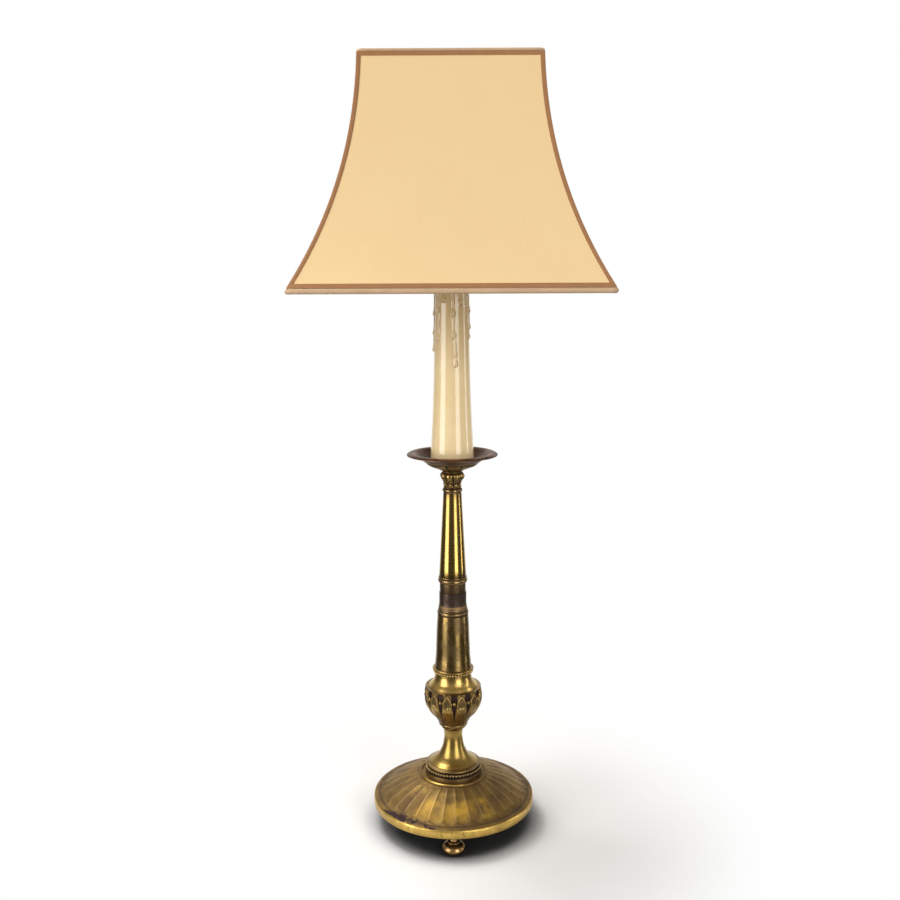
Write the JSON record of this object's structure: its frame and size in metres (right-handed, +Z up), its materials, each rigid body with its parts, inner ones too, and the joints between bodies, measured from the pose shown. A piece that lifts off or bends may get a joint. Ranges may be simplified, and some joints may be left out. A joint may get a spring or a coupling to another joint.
{
  "type": "candle lamp with shade",
  "caption": "Electric candle lamp: fluted dish on bun feet, turned and cast stem with an urn of leaves, drip pan, false wax candle and a square flared fabric shade.",
  "frame": {"origin": "on the table, under the axis of the stem", "axes": "+Z up along the stem; -Y is the front, where one of the feet stands and one shade panel faces; +X is to the right as seen from the front"},
  "size_m": [0.3506, 0.3506, 0.9502],
  "materials": {
    "cast_brass": "cast and chased, dull with brown patina in the hollows",
    "polished_brass": "turned and polished, lightly tarnished",
    "dark_brass": "dark brown patina",
    "zinc_steel": "zinc plated",
    "cast_iron": "rough casting, painted black",
    "black_plastic": "moulded, fine matt",
    "wax_resin": "cream, smooth and glossy like wax",
    "holder_brass": "spun, satin",
    "porcelain": "white glazed ceramic",
    "contact_brass": "bare, stamped",
    "solder": "dull, rounded",
    "bulb_glass": "clear, smooth",
    "tungsten": "drawn wire",
    "painted_wire": "cream powder coat",
    "shade_fabric": "cream-gold slub fabric on a stiff lining",
    "brown_braid": "flat brown braid, fine ribs",
    "beige_braid": "ribbed beige cord braid"
  },
  "bodies": {
    "stand": {"ballast_weight": "cast_iron", "base_dish": "cast_brass", "base_nut": "zinc_steel", "base_washer": "zinc_steel", "beaded_ring": "cast_brass", "bell_foot": "polished_brass", "bottom_cover": "zinc_steel", "candle_cap": "polished_brass", "candle_seat": "polished_brass", "candle_sleeve": "wax_resin", "capital_ring": "polished_brass", "central_tube": "zinc_steel", "centre_contact": "contact_brass", "column_band": "dark_brass", "column_collar": "cast_brass", "cord_bushing": "black_plastic", "drip_pan": "dark_brass", "foot_front": "polished_brass", "foot_left": "polished_brass", "foot_moulding": "cast_brass", "foot_right": "polished_brass", "grub_screw": "zinc_steel", "holder_cap": "holder_brass", "holder_insert": "porcelain", "holder_shell": "holder_brass", "leaf_capital": "cast_brass", "leaf_cup": "cast_brass", "lower_column": "polished_brass", "lower_ring": "polished_brass", "screw_shell": "contact_brass", "terminal_screws": "contact_brass", "upper_column": "polished_brass", "upper_ring": "polished_brass", "urn_shoulder": "polished_brass", "wreath_ring": "cast_brass"},
    "shade": {"panel_front": "shade_fabric", "panel_right": "shade_fabric", "panel_back": "shade_fabric", "panel_left": "shade_fabric", "spider_ring": "painted_wire", "spider_arms": "painted_wire", "corner_wires": "painted_wire", "top_wire": "painted_wire", "bottom_wire": "painted_wire", "corner_trims": "brown_braid", "top_trim": "brown_braid", "bottom_trim": "brown_braid", "top_piping": "beige_braid", "bottom_piping": "beige_braid"},
    "lower_nut": {"lower_shade_ring": "holder_brass"},
    "upper_nut": {"upper_shade_ring": "holder_brass"},
    "bulb_tip": {"bulb_contact": "solder"},
    "bulb": {"bulb_cap": "contact_brass", "bulb_glass": "bulb_glass", "bulb_stem": "bulb_glass", "bulb_filament": "tungsten"}
  },
  "joints": [
    {"name": "shade_turn", "type": "hinge", "parent": "stand", "child": "shade", "pos_m": [0, 0, 0.743], "axis": [0, 0, 1], "continuous": true},
    {"name": "lower_nut_turn", "type": "hinge", "parent": "stand", "child": "lower_nut", "pos_m": [0, 0, 0.74], "axis": [0, 0, 1], "range_deg": [0, 720]},
    {"name": "upper_nut_turn", "type": "hinge", "parent": "stand", "child": "upper_nut", "pos_m": [0, 0, 0.747], "axis": [0, 0, 1], "range_deg": [0, 720]},
    {"name": "bulb_lift", "type": "slide", "parent": "stand", "child": "bulb_tip", "axis": [0, 0, 1], "range_m": [0, 0.02182]},
    {"name": "bulb_turn", "type": "hinge", "parent": "bulb_tip", "child": "bulb", "pos_m": [0, 0, 0.76], "axis": [0, 0, 1], "range_deg": [0, 2160]}
  ],
  "couplings": [
    {"joint": "bulb_lift", "follows": "bulb_turn", "m_per_rad": 0.00057614}
  ]
}
